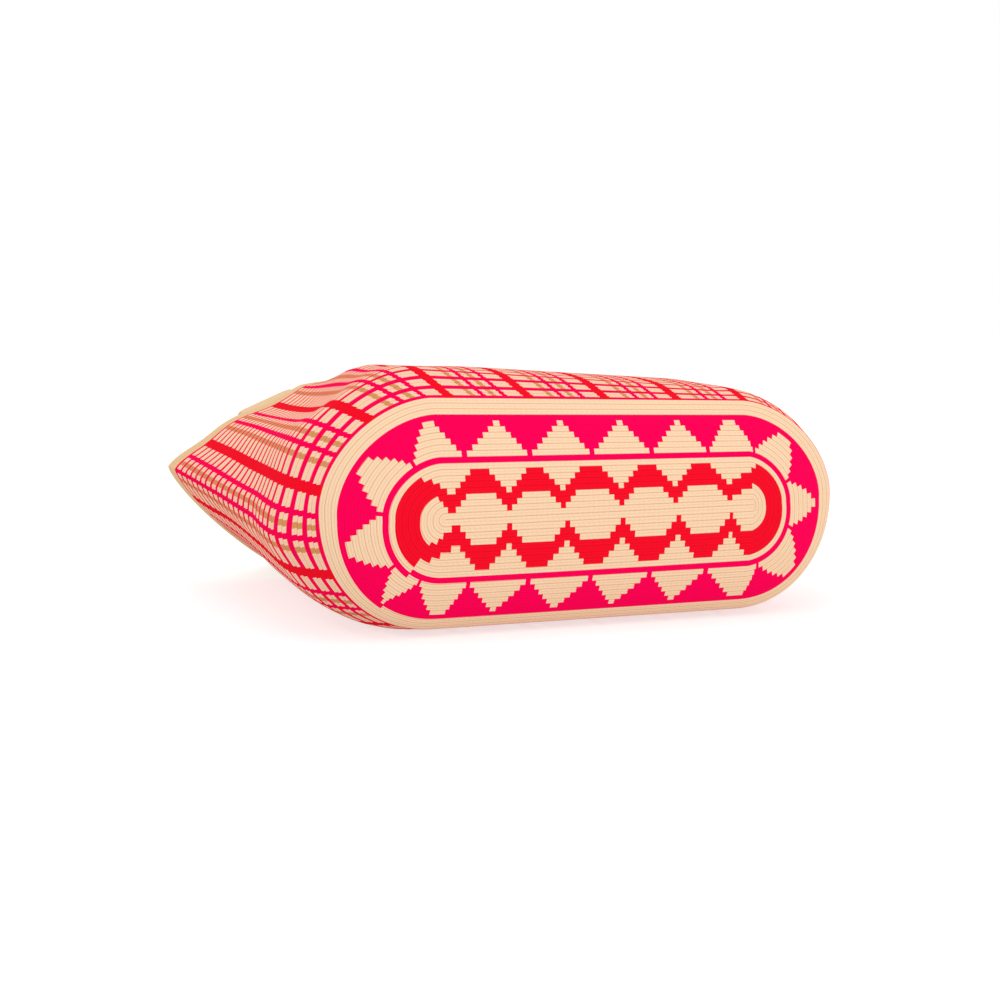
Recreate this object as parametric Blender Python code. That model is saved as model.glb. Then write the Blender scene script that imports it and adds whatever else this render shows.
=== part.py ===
"""A crocheted tote bag lying on its broad side, stuffed, with its oval base towards -Y.

The body is worked in one piece: an oval base of flat rounds around a foundation chain,
then wall rounds of the same stitch up to a plain rim. Two flat straps are sewn inside the
rim with yarn. Units are metres, +Z is up, X runs along the base, and the origin is under the
middle of the wall.
"""

import math

import bmesh
import bpy
import numpy as np

# The base, seen from -Y: a stadium around a foundation chain.
BASE_LENGTH = 0.365
BASE_HEIGHT = 0.148
BASE_LIFT = 0.0055
BASE_DOME = 0.024
BASE_ROUNDS = 20
CHAIN_HEIGHT = 0.0785
SIDE_HEIGHT = 0.084

# The wall, from the base's edge to the rim, half of its depth to each side of the origin.
WALL_DEPTH = 0.286
WALL_ROUNDS = 73
RIM_ROUNDS = 3
WALL_THICKNESS = 0.0035
RIM_ROLL = 0.0012

# How far the wall stands out past the base's ends, and where its crown lies over the base's top.
BELLY_FLARE = 0.013
MOUTH_FLARE = 0.025
BELLY_RISE = 0.0165
MOUTH_DROP = 0.0075

# The stitches: one colour repeat of the wall as stitches of each yarn, and the relief of a ridge.
# The rounds crowd a little towards the base's lower and right edges.
REPEATS = 18
WALL_REPEAT = (("red", 2), ("cream", 5.5), ("magenta", 2), ("cream", 5.5))
STITCH_WIDTH = 0.0035
FIRST_BAND = 2.6
STITCH_DRIFT = 0.13
DRIFT_CENTRE = 20
RIDGE = 0.0006
CROWD_ALL = 0.05
CROWD_LOW = 0.18
CROWD_RIGHT = 0.2
CREASE_DEPTH = 1.35
INNER_LOOPS = 12

# The wall's soft folds: the stitch and wall round where each starts and ends, its half width in
# stitches, and its height, which is negative for a hollow. They fade in from the base's edge.
FOLDS = (
    (20.0, 6.0, 18.5, 84.0, 7.5, -0.0125),
    (4.0, 0.0, 3.0, 86.0, 5.0, -0.0055),
    (-1.0, 10.0, -1.0, 52.0, 4.0, -0.0030),
    (-5.5, -14.0, -5.0, 24.0, 4.5, 0.0055),
    (-12.0, 14.0, -12.0, 60.0, 4.0, -0.0030),
    (34.0, 12.0, 34.0, 38.0, 7.0, -0.0030),
    (34.0, 46.0, 33.0, 72.0, 7.0, -0.0025),
)
FOLD_START = 6

# The straps and the yarn that sews them on.
STRAP_WIDTH = 0.042
STRAP_THICKNESS = 0.005
STRAP_OVERLAP_ROUNDS = 7
STRAP_CLEAR = 0.006
STRAP_FROM_CORNER = 0.088
STRAP_REACH = 0.161
STRAP_TURN = 0.042
STRAP_HANG_BACK = 0.052
STRAP_RISE = 0.005
STRAP_FLOOR_GAP = 0.010
SEAM_YARN = 0.0018
SEAM_INSET = 0.004
GAP = 0.0003

CREAM = (0.93, 0.66, 0.42)
MAGENTA = (1.0, 0.0, 0.10)
RED = (1.0, 0.01, 0.025)
YARN_ROUGHNESS = 0.9

STITCHES_PER_REPEAT = sum(width for _, width in WALL_REPEAT)
STITCHES = round(REPEATS * STITCHES_PER_REPEAT)
EDGE_ROW = BASE_ROUNDS
RIM_ROW = BASE_ROUNDS + WALL_ROUNDS
BASE_TOP = BASE_LIFT + BASE_HEIGHT
BASE_RADIUS = BASE_HEIGHT / 2
FOUNDATION = BASE_LENGTH / 2 - BASE_RADIUS

# Sections of the body across Y: share of the wall's depth, how far the left and right ends stand
# out past the base, how far the crown rises over the base's top at the left and at the right,
# where the level top ends at the left and right, the heights of the left and right ends, the
# roundness of the upper and lower corners, the height of the underside, and how far the first
# stitch has turned up around the section.
SECTIONS = (
    (
        0.000, 0.0012, -0.0022, 0.0, -0.0075, 0.0, 0.0,
        SIDE_HEIGHT, SIDE_HEIGHT - 0.0035, 1.8, 2.1, BASE_LIFT, 0.000,
    ),
    (
        0.137, BELLY_FLARE + 0.0033, BELLY_FLARE - 0.0027, BELLY_RISE, -0.001, -0.002, 0.002,
        SIDE_HEIGHT - 0.0005, SIDE_HEIGHT - 0.002, 1.87, 2.15, 0.0, 0.004,
    ),
    (
        0.425, BELLY_FLARE + 0.007, BELLY_FLARE + 0.0025, BELLY_RISE - 0.0005, 0.0005, -0.004, 0.0,
        SIDE_HEIGHT - 0.002, SIDE_HEIGHT - 0.002, 1.47, 1.83, 0.0, 0.010,
    ),
    (
        0.712, MOUTH_FLARE - 0.002, MOUTH_FLARE - 0.0055, BELLY_RISE - 0.010, -0.0065, -0.006, 0.002,
        SIDE_HEIGHT - 0.0005, SIDE_HEIGHT, 1.34, 1.45, 0.0, 0.015,
    ),
    (
        1.000, MOUTH_FLARE + 0.003, MOUTH_FLARE - 0.0015, -MOUTH_DROP, -0.008, 0.001, 0.004,
        SIDE_HEIGHT + 0.0025, SIDE_HEIGHT + 0.001, 1.2, 1.24, 0.0, 0.019,
    ),
)
CORNER_POINTS = 80


def clear_scene():
    for obj in list(bpy.data.objects):
        bpy.data.objects.remove(obj, do_unlink=True)


def yarn_material(name, colour):
    material = bpy.data.materials.new(name)
    material.use_nodes = True
    shader = material.node_tree.nodes["Principled BSDF"]
    shader.inputs["Base Color"].default_value = (*colour, 1.0)
    shader.inputs["Roughness"].default_value = YARN_ROUGHNESS
    shader.inputs["Metallic"].default_value = 0.0
    material.diffuse_color = (*colour, 1.0)
    return material


def section_outline(section):
    """The closed outline of one section: two round ends joined by a level top and bottom."""
    share, out_left, out_right, rise_left, rise_right = section[:5]
    flat_left, flat_right, side_left, side_right = section[5:9]
    round_up, round_low, under, _ = section[9:]
    left = -BASE_LENGTH / 2 - out_left
    right = BASE_LENGTH / 2 + out_right
    level_left = -FOUNDATION - flat_left
    level_right = FOUNDATION + flat_right
    top_left = BASE_TOP + rise_left
    top_right = BASE_TOP + rise_right
    turn = np.linspace(0, math.pi / 2, CORNER_POINTS)
    across = np.cos(turn).clip(0)
    upward = np.sin(turn)

    def corner(flat, end, side, far, power):
        x = flat + (end - flat) * across ** (2 / power)
        z = side + (far - side) * upward ** (2 / power)
        return np.stack([x, np.full(CORNER_POINTS, (share - 0.5) * WALL_DEPTH), z], axis=-1)

    return np.concatenate([
        corner(level_left, left, side_left, top_left, round_up),
        corner(level_right, right, side_right, top_right, round_up)[::-1],
        corner(level_right, right, side_right, under, round_low)[1:],
        corner(level_left, left, side_left, under, round_low)[::-1][:-1],
    ])


def around(outline, share, start):
    """Points of a closed outline at the given shares of its length, from its left end plus start."""
    closed = np.vstack([outline, outline[:1]])
    run = np.concatenate([[0.0], np.cumsum(np.linalg.norm(np.diff(closed, axis=0), axis=1))])
    place = (share * run[-1] + start) % run[-1]
    return np.stack([np.interp(place, run, closed[:, axis]) for axis in range(3)], axis=-1)


OUTLINES = [section_outline(section) for section in SECTIONS]
SECTION_ROWS = np.array([section[0] * WALL_ROUNDS for section in SECTIONS])


def section_weights(row):
    """How much each section counts at a wall round, as a smooth curve through the sections."""
    count = len(SECTION_ROWS)
    unit = np.eye(count)
    before = np.clip(np.arange(count) - 1, 0, None)
    after = np.clip(np.arange(count) + 1, None, count - 1)
    slope = (unit[after] - unit[before]) / (SECTION_ROWS[after] - SECTION_ROWS[before])[:, None]
    index = np.clip(np.searchsorted(SECTION_ROWS, row, side="right") - 1, 0, count - 2)
    width = (SECTION_ROWS[index + 1] - SECTION_ROWS[index])[..., None]
    t = (row - SECTION_ROWS[index])[..., None] / width
    return (
        (2 * t**3 - 3 * t**2 + 1) * unit[index]
        + (t**3 - 2 * t**2 + t) * width * slope[index]
        + (3 * t**2 - 2 * t**3) * unit[index + 1]
        + (t**3 - t**2) * width * slope[index + 1]
    )


def stitch_share(stitch):
    """The share of the way round at a stitch: the stitches are a little wider at the upper left."""
    def turn(n):
        return math.tau * n / STITCHES

    drift = np.sin(turn(stitch - DRIFT_CENTRE)) + math.sin(turn(DRIFT_CENTRE))
    return stitch / STITCHES + STITCH_DRIFT / math.tau * drift


def wall_sheet(stitch, row):
    weights = section_weights(row)
    share = stitch_share(stitch)
    points = sum(
        weights[..., n, None] * around(outline, share, SECTIONS[n][-1])
        for n, outline in enumerate(OUTLINES)
    )
    points[..., 2] = points[..., 2].clip(0)
    return points


def base_sheet(stitch, row):
    """The domed base: rounds nested between the foundation chain and the edge."""
    edge = around(OUTLINES[0], stitch_share(stitch), SECTIONS[0][-1])
    chain = edge.copy()
    chain[..., 0] = np.clip(edge[..., 0], -FOUNDATION, FOUNDATION)
    chain[..., 2] = CHAIN_HEIGHT
    reach = edge - chain
    share = row / BASE_ROUNDS
    down = np.clip(-reach[..., 2] / BASE_RADIUS, 0, 1)
    right = np.clip(reach[..., 0] / BASE_RADIUS, 0, 1)
    spread = (1 - (1 - share) ** (1 + CROWD_ALL + CROWD_LOW * down)) ** (1 + CROWD_RIGHT * right)
    points = chain + reach * spread[..., None]
    points[..., 1] -= BASE_DOME * (1 - share**2)
    return points


def sheet(stitch, row):
    """The smooth outer face of the body at a stitch and a row counted from the base's centre."""
    stitch, row = np.broadcast_arrays(np.asarray(stitch, float), np.asarray(row, float))
    on_base = row < EDGE_ROW
    base = base_sheet(stitch, np.minimum(row, EDGE_ROW))
    wall = wall_sheet(stitch, np.maximum(row - EDGE_ROW, 0.0))
    return np.where(on_base[..., None], base, wall)


def outward(stitch, row, step=0.2):
    """Unit normals of the sheet, averaged over a fold such as the base's edge."""
    stitch, row = np.broadcast_arrays(np.asarray(stitch, float), np.asarray(row, float))
    low = np.maximum(row - step, 0.0)
    high = np.minimum(row + step, RIM_ROW)
    along = sheet(stitch, high) - sheet(stitch, low)
    across = sheet(stitch + step, row) - sheet(stitch - step, row)
    normal = np.cross(across, along)
    return normal / np.linalg.norm(normal, axis=-1, keepdims=True)


def fold_height(stitch, row):
    """How far the folds raise or sink the wall at a stitch and a wall round."""
    height = np.zeros(np.broadcast(stitch, row).shape)
    for start_stitch, start, end_stitch, end, width, size in FOLDS:
        along = ((row - start) / (end - start)).clip(0, 1)
        line = start_stitch + (end_stitch - start_stitch) * along
        aside = (stitch - line + STITCHES / 2) % STITCHES - STITCHES / 2
        height = height + size * np.exp(-(aside / width) ** 2) * np.sin(math.pi * along)
    return height * np.clip(row / FOLD_START, 0, 1)


def skin(stitch, row, height=0.0):
    """The folded face of the body, raised by a height along the wall's normal."""
    fold = fold_height(stitch, np.asarray(row, float) - EDGE_ROW)
    return sheet(stitch, row) + outward(stitch, row) * (fold + height)[..., None]


def column_stitches():
    """The stitches where the colour fields of the wall begin, all the way round."""
    starts = []
    for repeat in range(REPEATS):
        stitch = FIRST_BAND + repeat * STITCHES_PER_REPEAT
        for _, width in WALL_REPEAT:
            starts.append(stitch)
            stitch += width
    return np.array(starts)


def outer_rows():
    """Every base round, then the two edges of each magenta wall round, then the rim."""
    base = list(range(1, EDGE_ROW + 1))
    wall = [EDGE_ROW + 1]
    for round_number in range(3, WALL_ROUNDS - RIM_ROUNDS, 3):
        wall += [EDGE_ROW + round_number, EDGE_ROW + round_number + 1]
    return base + wall + [RIM_ROW]


def inner_rows():
    wall_steps = np.linspace(EDGE_ROW, RIM_ROW, INNER_LOOPS + 1)[1:]
    return [3, 9, 15, EDGE_ROW] + [float(row) for row in wall_steps]


def zigzag_is_red(x, row):
    """The red zigzag of the base's inner rounds: peaks every 11 stitches, pointing to the centre."""
    period = 11 * STITCH_WIDTH
    offset = -0.005
    peak = offset + (math.floor((x - offset) / period) + 0.5) * period
    away = abs(x - peak) / STITCH_WIDTH
    if abs(peak) > 3 * period:
        return row >= 5
    if row < 5:
        return row >= 2 and away < row - 1.5
    return away > row - 4.5


def triangle_is_cream(x, z, row):
    """The ring of cream triangles, whose tips point outwards, one stitch narrower a side a round."""
    half = (16.5 - row) * STITCH_WIDTH
    period = 12 * STITCH_WIDTH * 1.02
    if abs(x) < FOUNDATION + 0.004:
        offset = -0.0055
        centre = offset + (math.floor((x - offset) / period) + 0.5) * period
        return abs(x - centre) < half
    lean = math.degrees(math.atan2(z - SIDE_HEIGHT, abs(x) - FOUNDATION))
    nearest = min((-54.0, 0.0, 54.0), key=lambda angle: abs(lean - angle))
    radius = BASE_RADIUS * row / BASE_ROUNDS
    return math.radians(abs(lean - nearest)) * radius < half + STITCH_WIDTH


def base_colour(x, z, row):
    if row in (1, 9) or row > 17:
        return "cream"
    if row < 9:
        return "red" if zigzag_is_red(x, row) else "cream"
    if row in (10, 17):
        return "magenta"
    return "cream" if triangle_is_cream(x, z, row) else "magenta"


def wall_colour(column, row):
    """Magenta rounds crossed by the red bands, with cream and magenta fields between them."""
    if row >= WALL_ROUNDS - RIM_ROUNDS:
        return "cream"
    field = WALL_REPEAT[column % len(WALL_REPEAT)][0]
    is_magenta_round = row < 1 or row % 3 < 1
    if field == "cream" and is_magenta_round:
        return "magenta"
    return "magenta" if row < 1 else field


def body_loops():
    """The loops of the body's skin, from the outer centre over the rim to the inner centre."""
    stitches = column_stitches()
    rows = outer_rows()
    loops = []
    for number, row in enumerate(rows):
        groove = number % 2 if row != RIM_ROW else 0
        relief = skin(stitches, row, RIDGE * (0.5 - groove))
        on_floor = sheet(stitches, row)[:, 2] <= 0
        relief[:, 2] = np.where(on_floor, 0, relief[:, 2].clip(0))
        loops.append(relief)
    loops.append(skin(stitches, RIM_ROW, -WALL_THICKNESS / 2) + np.array([0.0, RIM_ROLL, 0.0]))
    for row in reversed(inner_rows()):
        depth = WALL_THICKNESS * (CREASE_DEPTH if row == EDGE_ROW else 1)
        loops.append(skin(stitches, row, -depth))
    return rows, loops


def make_body(materials):
    rows, loops = body_loops()
    slots = {"cream": 0, "magenta": 1, "red": 2}
    bm = bmesh.new()
    rings = [[bm.verts.new(point) for point in loop] for loop in loops]
    count = len(rings[0])
    for number in range(len(rings) - 1):
        for column in range(count):
            after = (column + 1) % count
            face = bm.faces.new((
                rings[number][column],
                rings[number + 1][column],
                rings[number + 1][after],
                rings[number][after],
            ))
            colour = "cream"
            if number < len(rows) - 1:
                low, high = rows[number], rows[number + 1]
                centre = face.calc_center_median()
                if high <= EDGE_ROW:
                    colour = base_colour(centre.x, centre.z, high)
                else:
                    colour = wall_colour(column, low - EDGE_ROW)
            face.material_index = slots[colour]
    bm.faces.new(rings[0])
    bm.faces.new(list(reversed(rings[-1])))
    bmesh.ops.recalc_face_normals(bm, faces=bm.faces)
    mesh = bpy.data.meshes.new("bag_body")
    bm.to_mesh(mesh)
    bm.free()
    for name in slots:
        mesh.materials.append(materials[name])
    mesh.shade_smooth()
    mesh.set_sharp_from_angle(angle=math.radians(50))
    body = bpy.data.objects.new("bag_body", mesh)
    bpy.context.collection.objects.link(body)
    return body


def corner_stitch(side):
    """The stitch at the mouth's left or right corner."""
    stitches = np.linspace(0, STITCHES, 20 * STITCHES, endpoint=False)
    rim = sheet(stitches, RIM_ROW)
    return stitches[np.argmin(rim[:, 0]) if side < 0 else np.argmax(rim[:, 0])]


def stitch_from_corner(side, up, distance):
    """The stitch at a distance along the rim from a corner, along the upper or the lower lip."""
    corner = corner_stitch(side)
    turn = 1 if (side < 0) == (up > 0) else -1
    step = 0.25
    walked = 0.0
    stitch = corner
    while walked < distance:
        here = sheet(stitch, RIM_ROW)
        stitch += turn * step
        walked += float(np.linalg.norm(sheet(stitch, RIM_ROW) - here))
    return stitch


def inner_skin():
    """Points all over the flat faces of the body's inner skin near the rim."""
    stitches = column_stitches()
    low_row, high_row = inner_rows()[-2:]
    parts = np.linspace(0, 1, 12)
    found = []
    ends = [skin(stitches, row, -WALL_THICKNESS) for row in (low_row, high_row)]
    for up in parts:
        line = ends[0] + (ends[1] - ends[0]) * up
        for share in parts:
            found.append(line + (np.roll(line, -1, axis=0) - line) * share)
    return np.concatenate(found)


def strap_foot(side, up):
    """Where a strap is sewn on: its middle on the inside of the wall, and its own directions.

    The foot lies flat, so it is set in from the wall by what the wall's inner face needs.
    """
    middle = stitch_from_corner(side, up, STRAP_FROM_CORNER)
    low_row = RIM_ROW - STRAP_OVERLAP_ROUNDS
    inside = skin(middle, RIM_ROW, -WALL_THICKNESS)
    lower = skin(middle, low_row, -WALL_THICKNESS)
    along = inside - lower
    overlap = np.linalg.norm(along)
    along = along / overlap
    across = skin(middle + 1, RIM_ROW) - skin(middle - 1, RIM_ROW)
    across = across * np.sign(across[0])
    across = across - along * float(across @ along)
    across = across / np.linalg.norm(across)
    out = outward(middle, RIM_ROW - STRAP_OVERLAP_ROUNDS / 2)
    out = out - along * float(out @ along) - across * float(out @ across)
    out = out / np.linalg.norm(out)
    wall = inner_skin() - inside
    over = (np.abs(wall @ across) < STRAP_WIDTH / 2) & (wall @ along > -overlap - GAP)
    nearest = float((wall[over] @ out)[np.abs(wall[over] @ out) < STRAP_WIDTH / 2].min())
    centre = inside + out * (nearest - GAP - STRAP_THICKNESS / 2)
    return centre, along, across, out, overlap


def smooth_path(points, widths, steps):
    """A smooth curve through the points, with the strap's width direction carried along."""
    points = np.array(points)
    widths = np.array(widths)
    count = len(points)
    knots = np.concatenate([[0], np.cumsum(np.linalg.norm(np.diff(points, axis=0), axis=1))])
    values = np.hstack([points, widths])
    slopes = np.empty_like(values)
    for n in range(count):
        before, after = max(n - 1, 0), min(n + 1, count - 1)
        slopes[n] = (values[after] - values[before]) / (knots[after] - knots[before])
    found = []
    for n in range(count - 1):
        length = knots[n + 1] - knots[n]
        pieces = max(2, round(length / steps))
        for k in range(pieces + (n == count - 2)):
            t = k / pieces
            found.append(
                (2 * t**3 - 3 * t**2 + 1) * values[n]
                + (t**3 - 2 * t**2 + t) * length * slopes[n]
                + (3 * t**2 - 2 * t**3) * values[n + 1]
                + (t**3 - t**2) * length * slopes[n + 1]
            )
    found = np.array(found)
    return found[:, :3], found[:, 3:]


def strap_section():
    """The strap's section across its width: a flat band with round edges, as (across, out) pairs."""
    half = STRAP_WIDTH / 2
    thick = STRAP_THICKNESS / 2
    flat = half - thick
    edge = [(flat + thick * math.cos(a), thick * math.sin(a)) for a in np.radians((60, 0, -60))]
    right = [(flat * 0.4, thick)] + edge + [(flat * 0.4, -thick)]
    return right + [(-x, -z) for x, z in right]


def make_strap(name, points, widths, material):
    path, across = smooth_path(points, widths, STRAP_WIDTH / 4)
    section = strap_section()
    bm = bmesh.new()
    rings = []
    for n, place in enumerate(path):
        along = path[min(n + 1, len(path) - 1)] - path[max(n - 1, 0)]
        along = along / np.linalg.norm(along)
        side = across[n] - along * float(across[n] @ along)
        side = side / np.linalg.norm(side)
        out = np.cross(along, side)
        rings.append([bm.verts.new(place + side * x + out * z) for x, z in section])
    count = len(section)
    for low, high in zip(rings, rings[1:]):
        for k in range(count):
            bm.faces.new((low[k], low[(k + 1) % count], high[(k + 1) % count], high[k]))
    bm.faces.new(list(reversed(rings[0])))
    bm.faces.new(rings[-1])
    bmesh.ops.recalc_face_normals(bm, faces=bm.faces)
    mesh = bpy.data.meshes.new(name)
    bm.to_mesh(mesh)
    bm.free()
    mesh.materials.append(material)
    mesh.shade_smooth()
    mesh.set_sharp_from_angle(angle=math.radians(50))
    strap = bpy.data.objects.new(name, mesh)
    bpy.context.collection.objects.link(strap)
    return strap


def mirrored(points, widths):
    """The right half of a strap's route, from its left half and its middle."""
    turned = [np.array([-p[0], p[1], p[2]]) for p in reversed(points[:-1])]
    turned_widths = [np.array([-w[0], w[1], w[2]]) for w in reversed(widths[:-1])]
    return turned, turned_widths


def foot_route(foot):
    """The stretch of a strap that is sewn on, from its end to just clear of the rim."""
    centre, along, across, _, overlap = foot
    places = (-overlap, -overlap / 2, 0.0, STRAP_CLEAR)
    return [centre + along * place for place in places], [across] * len(places)


def upper_strap_route(foot):
    """From the upper lip the strap arches back, turns down and hangs in a shallow bow."""
    points, widths = foot_route(foot)
    rim = points[-1]
    across = widths[-1]
    side = np.array([1.0, 0.0, 0.0])
    back = STRAP_HANG_BACK
    points.append(rim + np.array([back * 0.06, back * 0.4, STRAP_RISE]))
    widths.append(across)
    points.append(rim + np.array([back * 0.13, back * 0.86, -back * 0.18]))
    widths.append(across + side)
    points.append(rim + np.array([back * 0.19, back, -back * 0.55]))
    widths.append(side)
    top = points[-1]
    bottom = STRAP_FLOOR_GAP + STRAP_WIDTH / 2
    for angle in np.radians((25, 48, 70, 90)):
        points.append(np.array([
            top[0] * math.cos(angle),
            top[1],
            top[2] + (bottom - top[2]) * math.sin(angle),
        ]))
        widths.append(np.array([math.cos(angle), 0.0, math.sin(angle)]))
    return points, widths


def lower_strap_route(foot):
    """From the lower lip the strap turns in to the middle and lies flat behind the mouth."""
    points, widths = foot_route(foot)
    rim = points[-1]
    across = widths[-1]
    floor = STRAP_THICKNESS / 2 + 2 * GAP
    turn = STRAP_TURN
    points.append(rim + np.array([turn * 0.24, turn * 0.38, -turn * 0.19]))
    widths.append(across)
    points.append(np.array([rim[0] + turn, rim[1] + turn, floor + turn * 0.1]))
    widths.append(np.array([0.62, -0.72, -0.10]))
    points.append(np.array([rim[0] + turn * 1.6, rim[1] + turn * 1.8, floor]))
    widths.append(np.array([0.72, -0.69, 0.0]))
    points.append(np.array([rim[0] * 0.37, rim[1] + 0.8 * STRAP_REACH, floor]))
    widths.append(np.array([0.45, -0.89, 0.0]))
    points.append(np.array([0.0, rim[1] + STRAP_REACH, floor]))
    widths.append(np.array([0.0, -1.0, 0.0]))
    return points, widths


def whole_route(left_foot, right_foot, half_route):
    """Both halves of a strap, each from its own foot, meeting in the middle."""
    points, widths = half_route(left_foot)
    centre, along, across, out, overlap = right_foot
    flip = np.array([-1.0, 1.0, 1.0])
    turned_foot = (centre * flip, along * flip, across * np.array([1.0, -1.0, -1.0]), out, overlap)
    right_points, right_widths = mirrored(*half_route(turned_foot))
    return points + right_points, widths + right_widths


def make_seam(name, foot, material):
    """The yarn that sews a foot on: a closed run around the foot's inner face."""
    centre, along, across, out, overlap = foot
    half = STRAP_WIDTH / 2 - SEAM_INSET
    lift = STRAP_THICKNESS / 2 + GAP + SEAM_YARN / 2
    middle = centre - along * overlap / 2 - out * lift
    tall = overlap / 2 - SEAM_INSET
    corner = SEAM_INSET / 2
    bm = bmesh.new()
    rings = []
    sides = 6
    corners = ((half, tall, 0), (-half, tall, 90), (-half, -tall, 180), (half, -tall, 270))
    for x, y, start in corners:
        for angle in (start, start + 45, start + 90):
            a = math.radians(angle)
            turn = np.array([math.cos(a), math.sin(a)])
            px = x - math.copysign(corner, x) + corner * turn[0]
            py = y - math.copysign(corner, y) + corner * turn[1]
            place = middle + across * px + along * py
            away = across * turn[0] + along * turn[1]
            ring = []
            for k in range(sides):
                b = math.tau * (k + 0.5) / sides
                ring.append(bm.verts.new(
                    place + (away * math.cos(b) + out * math.sin(b)) * SEAM_YARN / 2
                ))
            rings.append(ring)
    for n, low in enumerate(rings):
        high = rings[(n + 1) % len(rings)]
        for k in range(sides):
            bm.faces.new((low[k], low[(k + 1) % sides], high[(k + 1) % sides], high[k]))
    bmesh.ops.recalc_face_normals(bm, faces=bm.faces)
    mesh = bpy.data.meshes.new(name)
    bm.to_mesh(mesh)
    bm.free()
    mesh.materials.append(material)
    mesh.shade_smooth()
    seam = bpy.data.objects.new(name, mesh)
    bpy.context.collection.objects.link(seam)
    return seam


def main():
    clear_scene()
    materials = {
        "cream": yarn_material("cream_yarn", CREAM),
        "magenta": yarn_material("magenta_yarn", MAGENTA),
        "red": yarn_material("red_yarn", RED),
    }
    strap_yarn = yarn_material("strap_yarn", CREAM)
    seam_yarn = yarn_material("seam_yarn", CREAM)
    make_body(materials)
    for name, up, route in (("upper", 1, upper_strap_route), ("lower", -1, lower_strap_route)):
        left = strap_foot(-1, up)
        right = strap_foot(1, up)
        points, widths = whole_route(left, right, route)
        make_strap(f"{name}_strap", points, widths, strap_yarn)
        make_seam(f"{name}_left_seam", left, seam_yarn)
        make_seam(f"{name}_right_seam", right, seam_yarn)


main()
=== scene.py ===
# %% [markdown]
# # A crocheted tote bag
#
# The bag lies on its broad side, filled out, with its oval base towards us and its open mouth
# behind. It is worked in one piece with cotton yarn: an oval base of flat rounds, then wall
# rounds of the same tight stitch up to a plain rim. Two flat straps are sewn inside the rim.
# The lesson dresses the CAD model of the bag: the same surface, now with real rounds, real
# colour changes and yarn.

import math

import bmesh
import bpy
import numpy as np
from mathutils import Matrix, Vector


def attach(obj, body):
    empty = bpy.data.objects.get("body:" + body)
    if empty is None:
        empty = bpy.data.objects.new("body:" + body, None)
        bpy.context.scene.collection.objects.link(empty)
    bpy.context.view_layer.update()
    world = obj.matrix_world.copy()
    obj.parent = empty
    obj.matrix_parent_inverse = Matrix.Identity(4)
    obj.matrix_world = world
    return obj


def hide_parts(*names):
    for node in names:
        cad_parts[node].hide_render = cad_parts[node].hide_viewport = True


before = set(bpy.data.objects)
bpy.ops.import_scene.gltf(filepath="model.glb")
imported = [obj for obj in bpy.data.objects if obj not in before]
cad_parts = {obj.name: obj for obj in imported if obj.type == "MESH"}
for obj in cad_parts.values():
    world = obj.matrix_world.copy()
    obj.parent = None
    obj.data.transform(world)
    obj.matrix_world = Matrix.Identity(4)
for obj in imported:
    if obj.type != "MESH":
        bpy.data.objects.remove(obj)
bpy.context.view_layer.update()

# %% [markdown]
# ## The bag's measures
#
# A crocheter would write the bag down as counts: rounds and stitches. The gauge turns them into
# metres. Every piece below is placed by these few measures, the same ones that the CAD has.

# %% Measures of the bag
BASE_LENGTH, BASE_HEIGHT = 0.365, 0.148
BASE_LIFT, BASE_DOME = 0.0055, 0.024
CHAIN_HEIGHT = 0.0785
WALL_DEPTH, WALL_THICKNESS = 0.286, 0.0035
BASE_ROUNDS, WALL_ROUNDS, STITCHES = 20, 73, 270
RIM_ROUND = BASE_ROUNDS + WALL_ROUNDS
BASE_TOP = BASE_LIFT + BASE_HEIGHT
BASE_RADIUS = BASE_HEIGHT / 2
FOUNDATION = BASE_LENGTH / 2 - BASE_RADIUS
STITCH = 0.00355
print("foundation chain:", round(1000 * 2 * FOUNDATION), "mm, edge stitches:", STITCHES)

# %% [markdown]
# ## One surface for the whole bag
#
# The filled bag is a lofted sack. Five cross-sections across its depth say how round its
# corners are, how far it bulges and how it flattens towards the mouth. Each section is two round
# ends joined by a level top and bottom, and a smooth curve runs through all five. A point of the
# sack is then found from a stitch, counted round the bag, and a round, counted from the middle
# of the base, which is also how the real bag is worked.

# %% Cross-sections of the sack
# Share of the depth, how far the ends stand out at the left and right, the crown's rise at the
# left and right, the level part's extra at the left and right, the heights of both ends, upper
# and lower roundness, underside, and the first stitch's turn.
SECTIONS = (
    (0.000, 0.0012, -0.0022, 0.0, -0.0075, 0.0, 0.0, 0.084, 0.0805, 1.8, 2.1, BASE_LIFT, 0.0),
    (0.137, 0.0163, 0.0103, 0.0165, -0.001, -0.002, 0.002, 0.0835, 0.082, 1.87, 2.15, 0.0, 0.004),
    (0.425, 0.0200, 0.0155, 0.016, 0.0005, -0.004, 0.0, 0.082, 0.082, 1.47, 1.83, 0.0, 0.010),
    (0.712, 0.0230, 0.0195, 0.0065, -0.0065, -0.006, 0.002, 0.0835, 0.084, 1.34, 1.45, 0.0, 0.015),
    (1.000, 0.0280, 0.0235, -0.0075, -0.008, 0.001, 0.004, 0.0865, 0.085, 1.2, 1.24, 0.0, 0.019),
)


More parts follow.
